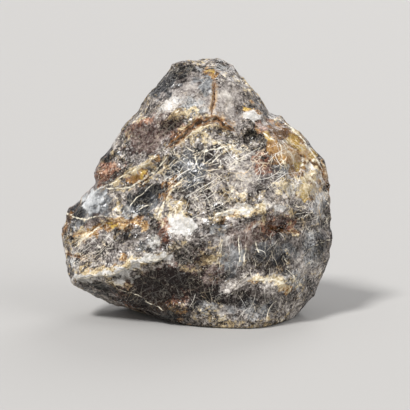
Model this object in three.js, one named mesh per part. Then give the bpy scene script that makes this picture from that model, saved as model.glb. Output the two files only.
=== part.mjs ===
// A raw chunk of copal: one lump of hardened tree resin, broken all over and never cut or polished.
// It stands on a small worn flat. The wide front is a bulging fracture face, a narrower crown leans back
// above it, and a blunt lobe overhangs on the left. Units are millimetres, +Z is up, the front faces -Y.
import * as THREE from "three";
import { ConvexHull } from "three/addons/math/ConvexHull.js";
import { ImprovedNoise } from "three/addons/math/ImprovedNoise.js";
import { mergeVertices } from "three/addons/utils/BufferGeometryUtils.js";

// Driving dimensions
const WIDTH = 102.5; // overall, left to right
const LEAN = THREE.MathUtils.degToRad(8); // how far the lump's own upright leans back
const CORE_HEIGHT = 46.4; // from the resting face up to the core
const EDGE_WEAR = 0.9; // how much of a fracture edge is worn away
const SEAM_FILL = 0.8; // how softly one lump runs into the next
const WORN_RIM = 5; // above the resting face, the height over which the roughness fades in

// How finely the surface is faceted
const SURFACE_STEPS = 20; // subdivisions of each of the 20 faces of the sphere that is wrapped over the lump
const SHARP_BREAK = THREE.MathUtils.degToRad(9); // fractures meeting at more than this make a real ridge
const RIDGE_REACH = 0.024; // in radians at the core, how far a corner is drawn sideways onto a ridge
const EDGE_PASSES = 4; // rounds of turning edges so that they run along the ridges
const THINNEST = 0.0006; // the flattest triangle allowed, as its triple product on the unit sphere
const FLATNESS = 0.05; // anything this close to the resting face belongs to it

// The break lines, in the lump's own frame: its core is at [0, 0, 0], z runs up the lump and y away from
// the front. Each list is one ridge or rim, and its points are the corners that the fractures meet at.
const crest = [
  [-13, 1, 44], [-7.6, 2, 48.8], [-2, 3, 50.2], [3.2, 3, 50.4], [8, 3, 51], [15.4, 3, 46.6],
  [19.6, 2, 42], [22.6, 2, 37.4], [26.4, 3, 33.2],
];
const crownLeftRim = [
  [-38.8, 0, 8.8], [-37.8, 1, 10.4], [-32, 2, 17], [-27, 2, 23.8], [-21.2, 2, 30.2], [-17.4, 2, 35],
];
const crownRidge = [[-18, -5, 34.6], [-8, -9, 39.6], [1.3, -10.5, 42.8], [7, -10.5, 43.8], [19, -8, 34.6]];
const crownFoot = [
  [-23, -9, 24.5], [-12, -15.5, 29.6], [-2.8, -17.5, 27], [5.4, -18.5, 27.4],
  [15.4, -16.5, 23.5], [26, -10, 24],
];
const crownRoot = [[-36, -6, 4], [-16, -13, -18], [14, -13, -18], [30, -8, 10], [36, 6, 14]];
const crownBack = [
  [-10, 11, 41.6], [6, 14, 43], [-26, 14, 22], [22, 15, 32], [4, 26, 18], [-37.4, 9, 1], [-37, 14, -6],
  [-24, 27, -14], [36, 22, 0], [14, 32.5, -10],
];

const shelf = [
  [-41, -1, 1.2], [-34.5, -8.5, 4], [-20, -15.5, 9.6], [-11.8, -18, 13.6], [-5.2, -19, 18.6],
  [1.2, -20, 25], [5.4, -20, 25.6], [11, -19.5, 24],
];
const rightRim = [
  [29.5, 3, 30], [32.8, 3, 28.4], [37.8, 4, 23.8], [41, 4, 19.4], [46.2, 3, 15.2], [49.4, 3, 11],
  [50.4, 3, 3.3], [51.4, 2, -5.8], [51.6, 1, -13.3], [51.2, 1, -20.9], [49.8, 2, -27.3],
  [46.6, 3, -34.8], [41.2, 3, -40],
];
const rightRidge = [[24, -17, 22], [33, -16, 14], [39, -15, 2], [33, -22, -3]];
const brow = [
  [31, -23, -6], [21.4, -26.5, -7.6], [12, -29, -12.4], [3.5, -30, -17.4], [-9.2, -28.5, -22.6],
  [-22.6, -23.5, -27.6], [-34.6, -17, -31], [-45.5, -8, -32.6],
];
const leftRim = [
  [-47.2, 1, -5.8], [-50.4, 1, -11.8], [-51.2, 0, -17.9], [-50.2, -1, -24.9], [-48.4, -3, -31.6],
];
const leftFace = [[-37, -12, -4], [-28, -17, -6]];
const keel = [
  [-40.5, -1, -37.6], [-33, 2, -40.6], [-27, 1, -43.6], [-10, -8, -47.8], [-3, -12, -51],
  [9.4, -17.5, -53.4], [20.4, -19, -53.8], [29, -12, -52.2], [34.6, -1, -50.4], [36.6, 12, -48.4],
  [29, 25, -46.8], [8, 27, -46.6], [-12, 25, -46.4], [-24, 20, -44.6], [-33, 13, -42.4],
];
const flank = [[42, -13, -18], [36, -18, -30], [22, -24, -36], [0, -22, -38]];
const back = [
  [-44, 13, -14], [-38, 20, -28], [-24, 28, -14], [-27, 19, 8], [14, 33.5, -10], [36, 23, 0], [44, 16, -18],
  [38, 25, -30], [10, 33, -32], [-42, 8, -2],
];

const lumps = {
  crown: [...crest, ...crownLeftRim, ...crownRidge, ...crownFoot, ...crownRoot, ...crownBack],
  body: [
    ...shelf, ...rightRim, ...rightRidge, ...brow, ...leftRim, ...leftFace, ...keel, ...flank, ...back,
  ],
};

// Shell-shaped fractures: a ball of this radius has been struck out, centred here in the lump's own frame.
const scoops = [
  { at: [37, -40, -14], radius: 20 },
  { at: [-6, 78, 12], radius: 50 },
  { at: [-48, 62, -34], radius: 43 },
  { at: [66, 46, 12], radius: 38 },
];

// Roughness left by the breaking: swell is the height in mm and grain the distance between swells.
const roughness = [
  { swell: 1.1, grain: 17 },
  { swell: 0.6, grain: 7 },
];
const NOISE_OFFSET = new THREE.Vector3(40, 40, 40); // which stretch of the roughness the lump is given

const leanBack = new THREE.Matrix4().makeRotationX(-LEAN);
const down = new THREE.Vector3(0, 0, -1).applyMatrix4(leanBack.clone().invert());
const restingPlane = { normal: down, constant: CORE_HEIGHT };

// The outward planes of the convex lump that spans these corners, with the core inside.
function planesOf(corners) {
  const hull = new ConvexHull().setFromPoints(corners.map((corner) => new THREE.Vector3(...corner)));
  return hull.faces.map(({ normal, constant }) => ({ normal: normal.clone(), constant }));
}

const solids = Object.values(lumps).map(planesOf);

// Where a ray from the core crosses each plane that is in front of it, the nearest first.
function crossings(direction, planes) {
  return planes
    .map((plane) => ({ plane, distance: plane.constant / plane.normal.dot(direction) }))
    .filter(({ distance }) => distance > 0)
    .sort((one, other) => one.distance - other.distance);
}

// How far from the core a ray leaves a lump. A fracture edge is worn round by blending the planes near it.
function exitDistance(found) {
  const nearest = found[0].distance;
  const crowd = found.reduce((sum, { distance }) => sum + Math.exp((nearest - distance) / EDGE_WEAR), 0);
  return nearest - (EDGE_WEAR * Math.log(crowd)) / 2;
}

// The lumps joined: the outermost of them, eased out a little along the seam where two are level.
function joinedDistance(exits) {
  const furthest = Math.max(...exits);
  const crowd = exits.reduce((sum, exit) => sum + Math.exp((exit - furthest) / SEAM_FILL), 0);
  return furthest + (SEAM_FILL * Math.log(crowd)) / 2;
}

// How far from the core a ray enters a struck-out ball, or Infinity if it misses.
function scoopDistance(direction, { at, radius }) {
  const centre = new THREE.Vector3(...at);
  const along = centre.dot(direction);
  const miss = centre.lengthSq() - along * along;
  if (along < 0 || miss > radius * radius) return Infinity;
  return along - Math.sqrt(radius * radius - miss);
}

// How far the roughness stands out of the surface at a point in the lump's own frame.
const noise = new ImprovedNoise();
function rise(point) {
  return roughness.reduce((sum, { swell, grain }) => {
    const place = point.clone().divideScalar(grain).add(NOISE_OFFSET);
    return sum + swell * noise.noise(place.x, place.y, place.z);
  }, 0);
}

// How far from the core the finished surface is in this direction, cut off at the resting face.
function surfaceDistance(direction) {
  const whole = joinedDistance(solids.map((planes) => exitDistance(crossings(direction, planes))));
  const struck = Math.min(whole, ...scoops.map((scoop) => scoopDistance(direction, scoop)));
  const point = direction.clone().multiplyScalar(struck);
  const height = CORE_HEIGHT - point.dot(down);
  const rough = struck + rise(point) * THREE.MathUtils.smoothstep(height, 0, WORN_RIM);
  const towardsGround = down.dot(direction);
  return towardsGround > 0 ? Math.min(rough, CORE_HEIGHT / towardsGround) : rough;
}

// The direction nearby that runs right through a ridge or a seam, so that the faceting follows the breaks.
function drawnToRidge(direction) {
  const found = solids.map((planes) => crossings(direction, planes));
  const outer = found.reduce((best, next) => (next[0].distance > best[0].distance ? next : best));
  const pairs = [
    [outer[0].plane, outer[1].plane],
    [outer[0].plane, restingPlane],
    found.map(([first]) => first.plane),
  ];
  for (const [one, other] of pairs) {
    const across = one.normal.clone().multiplyScalar(other.constant);
    across.addScaledVector(other.normal, -one.constant);
    const drawn = direction.clone().projectOnPlane(across).normalize();
    const sharp = one.normal.angleTo(other.normal) > SHARP_BREAK;
    if (sharp && drawn.angleTo(direction) < RIDGE_REACH) return drawn;
  }
  return direction;
}

// Turns the edge shared by two triangles wherever the other diagonal lies closer to the true surface.
function turnEdges(triangles, points) {
  const sideways = points.map((point) => point.clone().normalize());
  const facesOut = (a, b, c) => sideways[a].clone().cross(sideways[b]).dot(sideways[c]) > THINNEST;
  const strays = (a, b) => {
    const middle = points[a].clone().add(points[b]).divideScalar(2);
    return Math.abs(surfaceDistance(middle.clone().normalize()) - middle.length());
  };
  const owners = new Map();
  triangles.forEach((corners, triangle) => {
    corners.forEach((from, k) => {
      owners.set(`${from}-${corners[(k + 1) % 3]}`, { triangle, apex: corners[(k + 2) % 3] });
    });
  });
  const turned = new Set();
  for (const [edge, left] of owners) {
    const [from, to] = edge.split("-").map(Number);
    const right = owners.get(`${to}-${from}`);
    if (from > to || turned.has(left.triangle) || turned.has(right.triangle)) continue;
    const fits = facesOut(from, right.apex, left.apex) && facesOut(right.apex, to, left.apex);
    if (!fits || strays(left.apex, right.apex) >= strays(from, to)) continue;
    triangles[left.triangle] = [from, right.apex, left.apex];
    triangles[right.triangle] = [right.apex, to, left.apex];
    turned.add(left.triangle).add(right.triangle);
  }
}

// A finely faceted ball drawn in or out until it is the lump, then stood up and brought to its true width.
function chunkGeometry() {
  const sphere = new THREE.IcosahedronGeometry(1, SURFACE_STEPS);
  sphere.deleteAttribute("normal");
  sphere.deleteAttribute("uv");
  const geometry = mergeVertices(sphere);
  const places = geometry.getAttribute("position");
  const points = Array.from({ length: places.count }, (_, i) => {
    const direction = drawnToRidge(new THREE.Vector3().fromBufferAttribute(places, i).normalize());
    return direction.multiplyScalar(surfaceDistance(direction));
  });
  const corners = Array.from(geometry.getIndex().array);
  const triangles = Array.from({ length: corners.length / 3 }, (_, i) => corners.slice(3 * i, 3 * i + 3));
  for (let pass = 0; pass < EDGE_PASSES; pass++) turnEdges(triangles, points);
  geometry.setIndex(triangles.flat());
  points.forEach((point, i) => {
    point.applyMatrix4(leanBack).add(new THREE.Vector3(0, 0, CORE_HEIGHT));
    places.setXYZ(i, point.x, point.y, point.z < FLATNESS ? 0 : point.z);
  });
  geometry.computeBoundingBox();
  const { min, max } = geometry.boundingBox;
  const scale = WIDTH / (max.x - min.x);
  geometry.translate(-(min.x + max.x) / 2, -(min.y + max.y) / 2, 0).scale(scale, scale, scale);
  geometry.computeVertexNormals();
  return geometry;
}

const copal = new THREE.MeshStandardMaterial({
  color: 0x5b534c,
  roughness: 0.55,
  metalness: 0,
  flatShading: true,
});
const chunk = new THREE.Mesh(chunkGeometry(), copal);
chunk.name = "copal_chunk";

const part = new THREE.Group();
part.add(chunk);

export default part;
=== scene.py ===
import math
import random
import bmesh
import bpy
import numpy as np
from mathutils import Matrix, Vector, noise
from mathutils.bvhtree import BVHTree


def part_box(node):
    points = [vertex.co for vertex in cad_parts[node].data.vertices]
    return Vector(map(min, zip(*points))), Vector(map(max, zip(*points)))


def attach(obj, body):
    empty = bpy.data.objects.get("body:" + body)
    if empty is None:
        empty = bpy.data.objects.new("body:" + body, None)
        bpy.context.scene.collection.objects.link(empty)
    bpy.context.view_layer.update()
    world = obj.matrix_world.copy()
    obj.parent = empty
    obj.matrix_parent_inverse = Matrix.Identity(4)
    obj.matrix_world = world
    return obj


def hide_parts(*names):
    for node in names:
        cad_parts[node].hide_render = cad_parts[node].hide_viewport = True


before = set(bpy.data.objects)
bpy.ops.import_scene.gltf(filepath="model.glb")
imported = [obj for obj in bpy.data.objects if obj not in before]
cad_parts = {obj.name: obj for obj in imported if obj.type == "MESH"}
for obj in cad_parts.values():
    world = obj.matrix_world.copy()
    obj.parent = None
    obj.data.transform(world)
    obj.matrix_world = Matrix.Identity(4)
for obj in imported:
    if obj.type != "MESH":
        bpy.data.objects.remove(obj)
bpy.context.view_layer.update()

mm = 0.001             # everything below is written in millimetres and turned to metres
noise.seed_set(2)      # so that the stone comes out the same every time

# The chunk as it is looked at: its width is along X, and the face that shows is on the -Y side.
view = {
    "lens": 130,            # mm, on a 36 mm sensor
    "above": 8,             # degrees that the eye is above the horizon
    "distance": 560,        # mm from the lens to the middle of the chunk
    "middleHeight": 0.479,  # share of the height where the middle is
    "aimRight": 0.031,      # share of the width that the lens aims to the right of the middle
    "aimDown": 0.045,       # and below it
}

low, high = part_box("copal_chunk")
width = high.x - low.x
middle = Vector((0, 0, low.z + view["middleHeight"] * (high.z - low.z)))
tilt = math.radians(view["above"])
lookDir = Vector((0, math.cos(tilt), -math.sin(tilt)))
lookRight = Vector((1, 0, 0))
lookUp = Vector((0, math.sin(tilt), math.cos(tilt)))
aim = middle + lookRight * view["aimRight"] * width - lookUp * view["aimDown"] * width
eye = aim - lookDir * view["distance"] * mm


def toLinear(hexColour):
    # an sRGB hex colour as the linear RGBA that the sockets take
    parts = [int(hexColour[i:i + 2], 16) / 255 for i in (1, 3, 5)]
    return [c / 12.92 if c <= 0.04045 else ((c + 0.055) / 1.055) ** 2.4 for c in parts] + [1]


def addNode(tree, kind, inputs=(), **settings):
    # inputs is a list for the first sockets or a dictionary by name; a node gives its first output
    made = tree.nodes.new("ShaderNode" + kind)
    for number, (position, shade) in enumerate(settings.pop("stops", ())):
        stops = made.color_ramp.elements
        stop = stops[number] if number < 2 else stops.new(position)
        stop.position = position
        stop.color = toLinear(shade)
    for name, value in settings.items():
        setattr(made, name, value)
    sockets = [s for s in made.inputs if s.enabled]
    pairs = inputs.items() if isinstance(inputs, dict) else enumerate(inputs)
    for key, value in pairs:
        socket = sockets[key] if isinstance(key, int) else next(s for s in sockets if s.name == key)
        if isinstance(value, bpy.types.Node):
            value = next(s for s in value.outputs if s.enabled)
        if isinstance(value, bpy.types.NodeSocket):
            tree.links.new(value, socket)
        else:
            socket.default_value = value
    return made


def smoothStep(edge0, edge1, x):
    t = np.clip((x - edge0) / (edge1 - edge0), 0, 1)
    return t * t * (3 - 2 * t)


# Room: a pale floor that runs out to a sky of the same brightness, and soft lights as from large diffusers,
# the strongest at the upper left and one behind that lines the edges.
room = {
    "floorRadius": 200,       # m
    "floorColour": "#a6a4a1",
    "skyColour": "#dfdfe2",
    "skyStrength": 0.72,
    "lights": {               # where each stands, seen from the chunk, its width in degrees, its strength
        "key": ((-0.6, -0.7, 1.15), 12, 3.4),
        "fill": ((0.95, -0.6, 0.7), 40, 0.9),
        "back": ((0.35, 0.9, 0.8), 30, 1.0),
    },
}


def makeRoom():
    bpy.ops.mesh.primitive_circle_add(vertices=96, radius=room["floorRadius"], fill_type="NGON")
    floor = bpy.context.object
    floor.name = "floor"
    # Matt painted board: rolled on and flat, so it only takes soft shadows
    board = bpy.data.materials.new("matt painted board")
    board.use_nodes = True
    tree = board.node_tree
    grain = addNode(tree, "TexNoise", {"Scale": 900.0, "Detail": 3.0})   # roller grain about 1 mm across
    bump = addNode(tree, "Bump", {"Height": grain, "Strength": 0.05, "Distance": 0.0002})
    shader = tree.nodes["Principled BSDF"]
    shader.inputs["Base Color"].default_value = toLinear(room["floorColour"])
    shader.inputs["Roughness"].default_value = 0.85
    tree.links.new(bump.outputs[0], shader.inputs["Normal"])
    floor.data.materials.append(board)

    world = bpy.data.worlds.new("studio")
    world.use_nodes = True
    background = world.node_tree.nodes["Background"]
    background.inputs["Color"].default_value = toLinear(room["skyColour"])
    background.inputs["Strength"].default_value = room["skyStrength"]
    bpy.context.scene.world = world

    for name, (place, spread, strength) in room["lights"].items():
        light = bpy.data.objects.new(name, bpy.data.lights.new(name, "SUN"))
        light.data.angle = math.radians(spread)
        light.data.energy = strength
        light.rotation_euler = (-Vector(place)).to_track_quat("-Z", "Y").to_euler()
        bpy.context.scene.collection.objects.link(light)

    camera = bpy.data.objects.new("camera", bpy.data.cameras.new("camera"))
    camera.data.lens = view["lens"]
    camera.data.sensor_width = 36
    camera.location = eye
    camera.rotation_euler = (math.radians(90) - tilt, 0, 0)
    bpy.context.scene.collection.objects.link(camera)
    bpy.context.scene.camera = camera
    bpy.context.scene.view_settings.view_transform = "Standard"
    print("room: floor, sky,", len(room["lights"]), "lights and the camera")


makeRoom()

# The chunk. Places on its face are (across, up) in mm from the middle, as the camera sees them.
# A patch is across, up, half its width, half its height, its turn in degrees and its strength. Each kind is
# a finish of the resin below, but for six: window is where the resin is see-through, smooth is clean and
# glassy, scuffed and dripped are where hairlines lie thick, and dark and pale darken and lighten what is
# there: partly the resin's own tone, partly painted shade (below the brow, in the recessed band under the
# crown, in pits and holes), a painted dark reflection on the glassy facet and a painted sheen on the left
# slope.
copal = {
    "voxel": 0.6,
    # Flaked facets: their size, how far they tilt out, and how much each differs in shade
    "chips": [(15, 1.5, 0.6), (6.5, 0.75, 0.4), (3.2, 0.22, 0)],
    "chipWarp": 0.3,   # how far their borders stray from straight, as a share of their size
    "chipLean": 2.4,   # how steeply a facet may lean
    "chipHollow": 0.9,       # how hollow it is
    "chipBevel": 0.3,        # the share of its lean that is left at its border, and how wide the border is
    "relief": [(6.0, 0.25), (2.2, 0.08)],   # size of lumps, and their height
    "inset": 0.9,      # how far the skin is set in first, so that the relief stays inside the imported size
    "margin": 0.05,    # and what stays free inside that size at least
    "foot": 4,         # the relief dies out in this height above the floor, so that it stands as it did
    "wobble": (4, 0.8),      # size of the waver of the lines, and how far it takes them
    "ragged": (4, 1.4),      # the same for the edges of the patches
    "breaks": 3.2,           # the small breaks that the edges of the patches jump to
    "breakWarp": 0.35,       # how far their borders stray
    "followBreaks": 1.0,     # how closely the edges follow them
    "powdery": {"chalk": 0.4, "gold": 0.4, "cream": 0.4},   # what follows them less closely, and how
    "rubbed": (12, 2.5),     # what stands out is found over this many edges, and weighed by this much
    "patches": {
        "chalk": [
            # crown
            (-10, 34, 5.6, 1.7, 35, 0.75),
            # plateau
            (-5.5, -12.2, 5.4, 3.8, -10, 1.2),
            (12, -7, 5.5, 1.5, 12, 0.7),
            (18.5, -6, 4.4, 1.7, 5, 0.8),
            (32, -6, 2.0, 1.6, 0, 1.0),
            # right shoulder
            (21.5, 29, 3.2, 1.7, -10, 1.4),
            (43, 9, 2.0, 1.6, 0, 0.7),
            # right rim
            (36, 1.5, 2.0, 2.4, 20, 0.7),
            # left lobe and foot
            (-46.5, -27, 1.8, 3.5, 10, 0.7),
            (-23, -9, 1.4, 1.1, 0, 0.9),
            (-16, -18.5, 3.4, 2.2, 35, 0.8),
            # brow
            (-43, -32.5, 4.4, 1.5, -5, 1.3),
            (-37, -31, 3.0, 1.5, 0, 1.0),
            (-33, -30.2, 3.0, 1.4, 0, 1.1),
            (-28.5, -30, 3.4, 1.5, 10, 1.4),
            (-27, -32.5, 6.0, 1.0, 5, 0.9),
            (-23.5, -26.8, 2.6, 1.3, 30, 1.1),
            (-18.5, -24.7, 4.4, 1.7, 15, 1.3),
            (-12.5, -24.5, 3.4, 1.5, 20, 1.1),
        ],
        # slate grey, partly a painted reflection: the blue-grey sheen of glassy resin
        "slateAndSheen": [
            # crown
            (-13.5, 40, 6.5, 3.8, 25, 0.9),
            (-1.5, 33.5, 5.0, 3.4, 0, 0.9),
            (3, 40.5, 3.4, 4.2, 0, 1.0),
            # plateau
            (-3, 9, 9.0, 7.0, 30, 0.9),
            # right shoulder
            (31.5, 8.5, 3.2, 2.4, 0, 0.8),
            # right rim
            (46, -6, 4.0, 6.0, 0, 0.7),
            # left slope, shelf and glassy facet
            (-39, -4, 7.5, 5.5, 30, 1.1),
            (-20, -3.5, 9.0, 5.2, 35, 1.0),
            # left lobe and foot
            (-48, -26, 2.2, 4.0, 0, 0.8),
            (-45, -12, 4.0, 5.0, 60, 0.8),
            (-18, -19, 7.0, 3.0, 20, 0.8),
            # below the brow
            (4, -44, 5.0, 4.0, 0, 0.8),
            # lower right
            (8, -15.5, 3.4, 2.2, 0, 0.9),
            (13, -25, 6.0, 4.0, 60, 0.9),
            (20, -44, 10.0, 3.4, 0, 0.8),
            (30, -22, 9.0, 4.0, 0, 0.9),
            (36, -33, 6.0, 5.0, -30, 0.7),
            (44, -20, 5.0, 8.0, 0, 0.8),
        ],
        "plum": [
            # band below the crown
            (-17, 22, 10.0, 6.0, 25, 1.0),
            (-9, 26, 6.0, 3.0, 35, 1.0),
            # plateau
            (30.5, -10, 6.0, 3.0, 0, 1.0),
            # right shoulder
            (26, 10, 5.0, 3.6, 0, 1.0),
            (28, 16, 5.0, 4.0, 0, 0.8),
            # left lobe and foot
            (-38, -12, 7.0, 3.0, 20, 0.7),
            # brow
            (-12, -17, 3.0, 5.0, 0, 0.7),
            # below the brow
            (-24, -40, 12.0, 3.5, -25, 1.0),
            (-16, -40, 14.0, 4.0, -15, 1.0),
            (-12, -34, 15.0, 7.0, 10, 1.1),
            (3, -29, 7.0, 9.0, 0, 0.8),
            # lower right
            (20, -16, 9.0, 5.0, 0, 0.8),
        ],
        "cream": [
            # crown
            (-22, 29, 3.4, 2.4, 30, 0.7),
            (-4, 30, 6.0, 2.4, 20, 0.7),
            (16.5, 43.5, 3.0, 2.0, -50, 0.8),
            # plateau
            (-7, -7, 6.0, 3.4, 60, 0.8),
            (13, 1, 6.0, 4.4, 0, 0.7),
            (15, -7.5, 11.0, 2.4, 12, 0.8),
            (33, 2, 5.0, 3.6, 0, 0.8),
            # right shoulder
            (38, 24, 5.0, 1.8, -42, 1.1),
            # right rim
            (42, 4, 3.4, 6.0, -10, 1.1),
            (42.5, 0.5, 2.0, 3.4, -20, 1.2),
            # left slope, shelf and glassy facet
            (-27, 6, 8.0, 1.8, 30, 0.7),
            # brow
            (-36, -30, 9.0, 2.0, 0, 0.8),
            (-22, -26, 10.0, 2.4, 20, 0.8),
            # below the brow
            (-3, -29, 5.0, 2.0, -15, 0.75),
            (4, -26, 5.0, 2.0, 10, 0.7),
            (-25, -34.5, 4.0, 1.4, 0, 0.7),
            # lower right
            (25, -32.5, 6.0, 1.4, 0, 0.9),
            (33, -36, 3.4, 1.2, -25, 0.8),
        ],
        "rust": [
            # band below the crown
            (-24, 25, 5.0, 1.6, 42, 0.8),
            (-19, 27, 3.4, 1.8, 40, 1.0),
            (-10, 23, 4.0, 1.6, 35, 0.8),
            (-2, 25.5, 5.0, 1.8, 30, 0.7),
            # plateau
            (31.5, -13.2, 7.6, 2.4, 10, 1.35),
            # right shoulder
            (22.5, 25.5, 3.0, 1.8, -15, 1.1),
            (25.5, 11, 4.4, 4.0, 0, 0.9),
            (30, 23, 6.0, 3.4, -25, 1.2),
            (38, 10.5, 4.0, 3.6, 0, 0.8),
            # left slope, shelf and glassy facet
            (-34, 7.5, 7.0, 4.4, 20, 1.2),
            (-24, 5.4, 3.0, 1.6, 38, 0.8),
            # left lobe and foot
            (-35, -13.5, 9.0, 2.0, 22, 0.8),
            (-25, -11.5, 6.0, 1.2, 5, 0.7),
            # brow
            (-12, -15, 1.8, 5.0, 0, 1.0),
            # below the brow
            (-27, -40, 8.0, 2.0, -28, 0.7),
            (-16, -38, 15.0, 5.0, -5, 0.85),
            (-13, -30, 6.0, 3.0, 10, 0.7),
            # lower right
            (22, -13, 6.0, 1.8, 20, 0.7),
        ],
        "amber": [
            # keel
            (-9, -44.5, 7.0, 1.6, -22, 0.9),
            # crown
            (5.5, 45, 2.4, 1.8, 0, 0.7),
            (19.5, 31.5, 4.0, 1.6, -12, 1.0),
            # plateau
            (8, -10.5, 2.2, 1.5, 0, 1.2),
            (14, -7.5, 6.0, 1.2, 12, 0.7),
            # right shoulder
            (22.5, 25.5, 2.4, 1.2, -15, 0.9),
            (27.6, 20.6, 3.0, 1.2, -48, 1.1),
            (30, 15, 4.0, 3.0, -30, 0.9),
            (33, 22, 6.0, 3.4, -35, 1.3),
            (33.5, 18, 7.0, 5.0, -38, 1.5),
            (35, 19.5, 9.0, 4.4, -38, 1.3),
            (38, 12.5, 3.4, 5.0, 0, 1.2),
            (43.7, 13.5, 2.6, 3.4, -30, 1.1),
            # right rim
            (42, 1.2, 3.0, 4.4, -30, 0.7),
            (44, 6, 2.0, 6.0, 0, 0.7),
            # left slope, shelf and glassy facet
            (-21, 6.6, 4.4, 2.2, 38, 1.3),
            (-15.5, 13, 3.6, 1.2, 40, 0.8),
            # left lobe and foot
            (-40, -14.5, 6.0, 1.3, 22, 0.9),
            (-31.5, -12.5, 5.0, 1.4, 20, 1.2),
            (-29.5, -23, 2.4, 1.2, 0, 1.1),
            (-28, -27, 5.0, 1.6, 20, 0.7),
            (-24, -12.4, 5.0, 1.4, 5, 0.9),
            # brow
            (-38, -30, 7.0, 1.3, 0, 0.8),
            (-11, 1, 1.4, 6.0, -35, 0.8),
            # below the brow
            (-15, -43, 5.0, 1.4, -30, 0.8),
            (-9, -44.6, 6.0, 2.2, -30, 1.6),
            # lower right
            (24, -33, 5.0, 1.2, 0, 0.7),
            (34, -36.5, 2.8, 1.0, -25, 0.9),
        ],
        "gold": [
            # crown
            (5.5, 45.5, 1.5, 1.0, 0, 0.8),
            (19, 31.8, 2.6, 0.9, -12, 0.8),
            # plateau
            (8, -10.4, 1.3, 0.9, 0, 1.1),
            # right shoulder
            (37, 19.5, 3.4, 1.8, -45, 1.1),
            (27.6, 20.6, 2.4, 0.8, -48, 1.1),
            (38, 10, 1.6, 2.6, 0, 0.8),
            (38.7, 17.6, 2.2, 1.8, -20, 1.2),
            (43.7, 14.3, 1.5, 1.2, 0, 1.1),
            # right rim
            (40.5, 0, 1.7, 4.4, -8, 1.0),
            (42.6, 0.6, 1.2, 3.0, -25, 0.8),
            # left slope, shelf and glassy facet
            (-20.2, 7.2, 2.0, 1.0, 45, 1.1),
            # left lobe and foot
            (-31.3, -12.6, 1.8, 1.0, 20, 1.0),
            # below the brow
            (-9.0, -44.8, 2.4, 1.1, -30, 1.4),
        ],
        "window": [
            # plateau
            (8, -10.5, 2.0, 1.4, 0, 1.0),
            # right shoulder
            (36.5, 18, 8.5, 4.6, -38, 1.1),
            (38, 12, 3.0, 4.6, 0, 1.0),
            (43, 12, 2.6, 4.0, 0, 1.0),
            # right rim
            (42, 1, 3.2, 4.0, -30, 0.9),
            # below the brow
            (-9, -44, 4.5, 1.5, -30, 0.8),
        ],
        "smooth": [
            # crown
            (-6, 40, 11.0, 6.0, 20, 0.8),
            (5, 37, 6.0, 8.0, 0, 0.8),
            (9.5, 31, 3.4, 5.0, 10, 0.8),
            (13, 33, 6.0, 9.0, 0, 0.8),
            # band below the crown
            (-17, 22, 10.0, 6.0, 25, 0.6),
            # plateau
            (2, 12, 8.0, 6.0, 30, 1.0),
            (22, 6, 9.0, 6.0, 0, 0.7),
            (28, 4, 5.0, 4.0, 0, 0.6),
            # right shoulder
            (34, 19, 9.0, 5.5, -38, 1.3),
            (38, 11, 4.0, 5.0, 0, 1.2),
            # right rim
            (42, 1, 4.0, 5.0, -30, 0.9),
            # left slope, shelf and glassy facet
            (-40, -4, 9.0, 7.0, 30, 1.6),
            (-27, 5, 9.0, 2.4, 28, 0.9),
            (-19, -2.5, 9.0, 5.0, 35, 1.4),
            # left lobe and foot
            (-38, -17, 8.0, 4.0, 25, 0.6),
            (-22, -18, 9.0, 3.0, 20, 0.7),
            # lower right
            (8, -18, 6.0, 4.0, 30, 0.7),
            (13.5, -25, 6.0, 6.0, 30, 0.9),
            (16, -41, 18.0, 6.0, 0, 0.7),
            (28, -22, 16.0, 8.0, -10, 0.8),
            (48, -14, 4.0, 13.0, 0, 0.5),
        ],
        "scuffed": [
            # plateau
            (-2, -2, 10.0, 8.0, 30, 0.8),
            (6, 8, 18.0, 12.0, 10, 1.0),
            # right shoulder
            (30, 10, 12.0, 10.0, 0, 0.7),
            # right rim
            (44, -5, 6.0, 12.0, 0, 0.8),
            # left lobe and foot
            (-40, -20, 10.0, 5.0, 30, 0.6),
        ],
        "dripped": [
            # crown
            (6, 38, 6.0, 8.0, 0, 0.4),
            # below the brow
            (0, -37, 10.0, 6.0, 0, 0.6),
            # lower right
            (8, -26, 6.0, 8.0, 0, 0.5),
            (18, -19, 8.0, 9.0, -10, 1.1),
            (22, -42, 14.0, 6.0, 0, 0.9),
            (28, -27, 16.0, 12.0, -15, 0.75),
            (32, -20, 8.0, 6.0, 0, 0.35),
        ],
        # partly the resin's own darker tone, partly painted shade and a painted dark reflection
        "darkAndShade": [
            # crown
            (-13, 40, 4.0, 4.0, 40, 0.5),
            (-6, 46, 8.0, 2.4, 22, 0.7),
            (2, 47, 9.0, 1.8, 0, 0.5),
            # band below the crown
            # painted shade in the recessed band under the crown's overhang
            (-36, 15, 4.5, 4.0, 40, 1.0),
            (-25, 15.5, 4.0, 3.0, 20, 0.4),
            (-9, 26, 5.4, 2.8, 35, 0.8),
            # plateau
            (-5, 3, 4.0, 5.0, 0, 0.4),
            (-4, -5, 5.0, 3.4, 0, 0.45),
            (4, 14, 5.0, 4.0, 30, 0.35),
            # painted shadow in the pit beside the jewel
            (10.6, -11.6, 1.6, 1.2, 0, 1.0),
            # right shoulder
            # painted shade in the hole in the shoulder
            (22.5, 21, 4.4, 2.2, -25, 0.75),
            (30, 22.5, 4.0, 2.6, -30, 0.5),
            (44, 14.5, 2.2, 2.0, 0, 0.7),
            # right rim
            (38, -8, 3.6, 1.6, 0, 0.6),
            # left slope, shelf and glassy facet
            (-46, -6, 3.0, 5.0, -30, 0.4),
            # painted dark reflection on the glassy facet
            (-21.5, -3.5, 6.0, 3.6, 35, 0.6),
            (-16, 0.5, 5.0, 3.4, 35, 0.6),
            # left lobe and foot
            (-48, -17, 3.0, 7.0, 0, 0.4),
            (-46, -26, 3.0, 6.0, 0, 0.4),
            (-26, -16, 5.5, 2.4, 15, 0.5),
            (-25.5, -13.6, 3.8, 1.4, 5, 1.0),
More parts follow.
